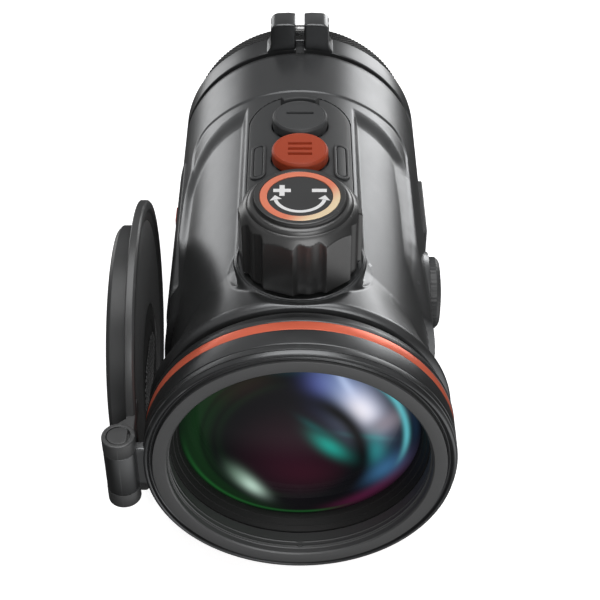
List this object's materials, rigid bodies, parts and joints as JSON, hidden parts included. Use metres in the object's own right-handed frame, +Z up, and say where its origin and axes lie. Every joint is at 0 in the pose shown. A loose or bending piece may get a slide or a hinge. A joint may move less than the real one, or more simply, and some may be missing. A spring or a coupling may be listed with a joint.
{
  "type": "thermal imaging camera",
  "caption": "Hand-held thermal imaging camera: round body with focus ring, rotary knob, keys, rear clamp ring and hinged lens cap parked open beside the body.",
  "frame": {"origin": "centre of the tripod socket's mouth on the flat base face; the optical axis runs above it at 36.5 mm", "axes": "+Z up out of the base, +Y along the optical axis towards the rear adapter ring, -Y towards the objective, +X towards the port flap"},
  "size_m": [0.0764, 0.1372, 0.0845],
  "materials": {
    "housing_metal": "satin dark coat over a cast light alloy",
    "head_metal": "satin hard-anodised, edges catch the light",
    "ring_metal": "fine-blasted dark anodised",
    "barrel_metal": "matt black anodised",
    "accent_metal": "orange anodised, fine turned",
    "accent_rubber": "matt orange silicone",
    "button_rubber": "matt",
    "panel_plastic": "fine spark-eroded texture",
    "knob_metal": "satin dark anodised",
    "cap_plastic": "satin moulded",
    "plug_rubber": "matt",
    "germanium": "coated infrared lens, opaque to the eye",
    "infrared_lens": "coated infrared lens",
    "clear_glass": "polished",
    "steel": "blackened, worn bright on edges",
    "brass_insert": "turned",
    "board": "solder-resist green",
    "cell_wrap": "shrink wrap",
    "switch_plastic": "moulded",
    "display_glass": "dark display",
    "sensor": "ceramic and metal sensor package"
  },
  "bodies": {
    "camera": {"front_bezel": "head_metal", "retaining_ring": "ring_metal", "objective_barrel": "barrel_metal", "lens_baffle": "barrel_metal", "front_lens": "germanium", "optics_frame": "barrel_metal", "housing": "housing_metal", "left_cover": "panel_plastic", "side_accent": "accent_rubber", "cover_screws": "steel", "base_plate": "housing_metal", "tripod_insert": "brass_insert", "base_screws": "steel", "control_panel": "panel_plastic", "encoder": "switch_plastic", "key_board": "board", "key_switches": "switch_plastic", "main_board": "board", "battery_pack": "cell_wrap", "detector_bracket": "barrel_metal", "thermal_detector": "sensor", "shutter_motor": "switch_plastic", "display_panel": "display_glass", "relay_cell": "barrel_metal", "relay_lens": "clear_glass", "usb_socket": "steel", "data_socket": "steel", "rear_flange": "barrel_metal", "rear_window": "clear_glass", "clamp_ring": "head_metal", "clamp_nut": "steel", "hinge_pin": "steel"},
    "lens_cap": {"cap_disc": "cap_plastic", "cap_plug": "plug_rubber", "cap_inlay": "panel_plastic"},
    "focus_band": {"focus_ring": "head_metal", "focus_accent_ring": "accent_metal"},
    "focus_carriage": {"focus_cell": "barrel_metal", "inner_lens": "infrared_lens"},
    "press_shaft": {"encoder_plunger": "steel"},
    "rotary_knob": {"knob": "knob_metal", "knob_accent_ring": "accent_metal", "knob_disc": "panel_plastic", "encoder_shaft": "steel"},
    "power_key": {"power_button": "button_rubber"},
    "mode_key": {"mode_button": "accent_rubber"},
    "shutter": {"shutter_blade": "steel"},
    "flap": {"port_flap": "button_rubber"},
    "screw_cap": {"side_cap": "panel_plastic"},
    "pinch_screw": {"clamp_screw": "steel"},
    "adapter": {"adapter_ring": "head_metal"}
  },
  "joints": [
    {"name": "cap_hinge", "type": "hinge", "parent": "camera", "child": "lens_cap", "pos_m": [-0.0384, -0.0611, 0.0365], "axis": [0, 0, 1], "range_deg": [0, 270]},
    {"name": "focus_turn", "type": "hinge", "parent": "camera", "child": "focus_band", "pos_m": [0, -0.054, 0.0365], "axis": [0, 1, 0], "range_deg": [-150, 150]},
    {"name": "focus_travel", "type": "slide", "parent": "camera", "child": "focus_carriage", "axis": [0, 1, 0], "range_m": [-0.0015, 0.0015]},
    {"name": "knob_press", "type": "slide", "parent": "camera", "child": "press_shaft", "axis": [0, 0, 1], "range_m": [-0.0005, 0], "stiffness_N_per_m": 2000, "springref_m": 0.001},
    {"name": "knob_turn", "type": "hinge", "parent": "press_shaft", "child": "rotary_knob", "pos_m": [0, -0.0282, 0.0365], "axis": [0, 0, 1], "continuous": true},
    {"name": "power_press", "type": "slide", "parent": "camera", "child": "power_key", "axis": [0, 0, 1], "range_m": [-0.0008, 0], "stiffness_N_per_m": 800, "springref_m": 0.001},
    {"name": "mode_press", "type": "slide", "parent": "camera", "child": "mode_key", "axis": [0, 0, 1], "range_m": [-0.0008, 0], "stiffness_N_per_m": 800, "springref_m": 0.001},
    {"name": "shutter_swing", "type": "hinge", "parent": "camera", "child": "shutter", "pos_m": [0, 0.0025, 0.051], "axis": [0, 1, 0], "range_deg": [0, 60]},
    {"name": "flap_hinge", "type": "hinge", "parent": "camera", "child": "flap", "pos_m": [0.0322, 0.025, 0.0313], "axis": [0, 1, 0], "range_deg": [0, 110]},
    {"name": "screw_cap_turn", "type": "hinge", "parent": "camera", "child": "screw_cap", "pos_m": [0.032, -0.004, 0.0365], "axis": [1, 0, 0], "continuous": true},
    {"name": "pinch_screw_turn", "type": "hinge", "parent": "camera", "child": "pinch_screw", "pos_m": [0, 0.0607, 0.0719], "axis": [1, 0, 0], "continuous": true},
    {"name": "adapter_turn", "type": "hinge", "parent": "camera", "child": "adapter", "pos_m": [0, 0.065, 0.0365], "axis": [0, 1, 0], "continuous": true}
  ],
  "couplings": [
    {"joint": "focus_travel", "follows": "focus_turn", "m_per_rad": 0.000572}
  ]
}
